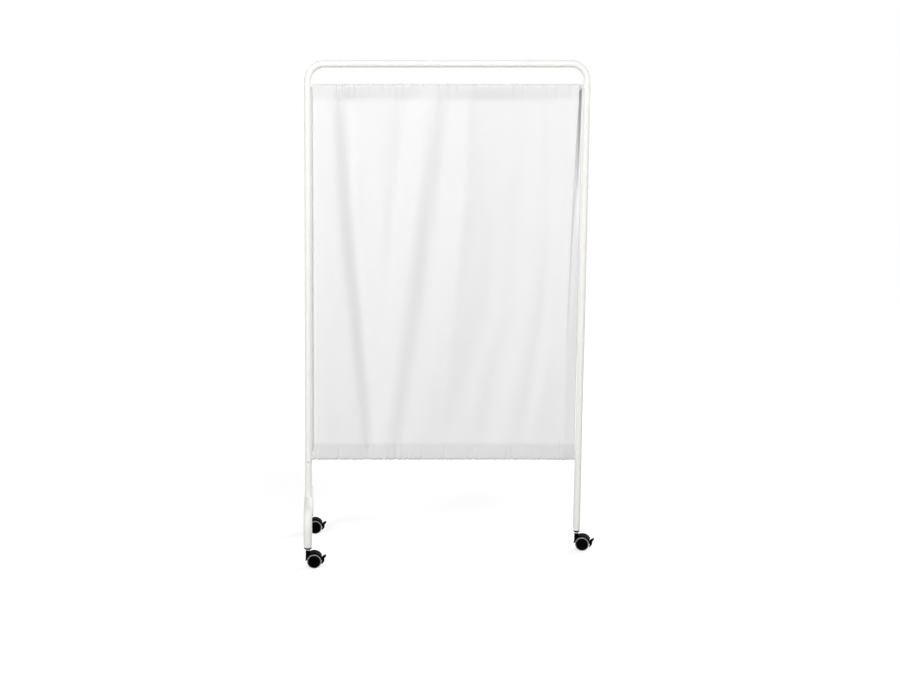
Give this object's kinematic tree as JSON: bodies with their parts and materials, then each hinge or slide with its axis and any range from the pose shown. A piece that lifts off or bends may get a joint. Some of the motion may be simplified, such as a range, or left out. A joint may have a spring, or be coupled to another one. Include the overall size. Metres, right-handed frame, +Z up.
{
  "type": "ward privacy screen",
  "caption": "Free-standing ward privacy screen: a bent white tube frame with a hemmed hanging curtain, on swivel casters with brakes.",
  "frame": {"origin": "on the floor, under the centre of the whole screen's bounding box", "axes": "+X to the right along the curtain as the picture shows it, +Y away from the viewer, +Z up"},
  "size_m": [1.0546, 0.486, 1.7548],
  "materials": {
    "white_paint": "smooth satin powder coat",
    "curtain_cloth": "matt plain weave",
    "white_plastic": "satin moulded",
    "black_plastic": "satin moulded",
    "grey_tyre": "matt soft tread",
    "zinc_steel": "bright zinc plate"
  },
  "bodies": {
    "root": {"frame_tube": "white_paint", "foot_tube": "white_paint", "foot_spigot": "white_paint", "spigot_screw": "zinc_steel", "curtain_rod_top": "white_paint", "curtain_rod_bottom": "white_paint", "rod_bush_top_left": "white_plastic", "rod_bush_top_right": "white_plastic", "rod_bush_bottom_left": "white_plastic", "rod_bush_bottom_right": "white_plastic", "curtain": "curtain_cloth", "insert_right": "white_plastic", "dust_ring_right": "black_plastic", "stem_right": "zinc_steel", "insert_front": "white_plastic", "dust_ring_front": "black_plastic", "stem_front": "zinc_steel", "insert_rear": "white_plastic", "dust_ring_rear": "black_plastic", "stem_rear": "zinc_steel"},
    "caster_right": {"housing_right": "black_plastic", "axle_right": "zinc_steel", "lever_pin_right": "zinc_steel"},
    "lever_right": {"brake_lever_right": "black_plastic"},
    "wheel_right_near": {"hub_right_near": "black_plastic", "tyre_right_near": "grey_tyre"},
    "wheel_right_far": {"hub_right_far": "black_plastic", "tyre_right_far": "grey_tyre"},
    "caster_front": {"housing_front": "black_plastic", "axle_front": "zinc_steel", "lever_pin_front": "zinc_steel"},
    "lever_front": {"brake_lever_front": "black_plastic"},
    "wheel_front_near": {"hub_front_near": "black_plastic", "tyre_front_near": "grey_tyre"},
    "wheel_front_far": {"hub_front_far": "black_plastic", "tyre_front_far": "grey_tyre"},
    "caster_rear": {"housing_rear": "black_plastic", "axle_rear": "zinc_steel", "lever_pin_rear": "zinc_steel"},
    "lever_rear": {"brake_lever_rear": "black_plastic"},
    "wheel_rear_near": {"hub_rear_near": "black_plastic", "tyre_rear_near": "grey_tyre"},
    "wheel_rear_far": {"hub_rear_far": "black_plastic", "tyre_rear_far": "grey_tyre"}
  },
  "joints": [
    {"name": "right_swivel", "type": "hinge", "parent": "root", "child": "caster_right", "pos_m": [0.46244, 0, 0.045], "axis": [0, 0, 1], "continuous": true},
    {"name": "right_brake", "type": "hinge", "parent": "caster_right", "child": "lever_right", "pos_m": [0.50385, -0.00956, 0.028], "axis": [0.225, 0.9744, 0], "range_deg": [0, 12]},
    {"name": "right_near_roll", "type": "hinge", "parent": "caster_right", "child": "wheel_right_near", "pos_m": [0.48387, -0.00495, 0.025], "axis": [0.225, 0.9744, 0], "continuous": true},
    {"name": "right_far_roll", "type": "hinge", "parent": "caster_right", "child": "wheel_right_far", "pos_m": [0.48387, -0.00495, 0.025], "axis": [0.225, 0.9744, 0], "continuous": true},
    {"name": "front_swivel", "type": "hinge", "parent": "root", "child": "caster_front", "pos_m": [-0.51256, -0.22, 0.045], "axis": [0, 0, 1], "continuous": true},
    {"name": "front_brake", "type": "hinge", "parent": "caster_front", "child": "lever_front", "pos_m": [-0.47006, -0.22, 0.028], "axis": [0, 1, 0], "range_deg": [0, 12]},
    {"name": "front_near_roll", "type": "hinge", "parent": "caster_front", "child": "wheel_front_near", "pos_m": [-0.49056, -0.22, 0.025], "axis": [0, 1, 0], "continuous": true},
    {"name": "front_far_roll", "type": "hinge", "parent": "caster_front", "child": "wheel_front_far", "pos_m": [-0.49056, -0.22, 0.025], "axis": [0, 1, 0], "continuous": true},
    {"name": "rear_swivel", "type": "hinge", "parent": "root", "child": "caster_rear", "pos_m": [-0.51256, 0.22, 0.045], "axis": [0, 0, 1], "continuous": true},
    {"name": "rear_brake", "type": "hinge", "parent": "caster_rear", "child": "lever_rear", "pos_m": [-0.47006, 0.22, 0.028], "axis": [0, 1, 0], "range_deg": [0, 12]},
    {"name": "rear_near_roll", "type": "hinge", "parent": "caster_rear", "child": "wheel_rear_near", "pos_m": [-0.49056, 0.22, 0.025], "axis": [0, 1, 0], "continuous": true},
    {"name": "rear_far_roll", "type": "hinge", "parent": "caster_rear", "child": "wheel_rear_far", "pos_m": [-0.49056, 0.22, 0.025], "axis": [0, 1, 0], "continuous": true}
  ]
}
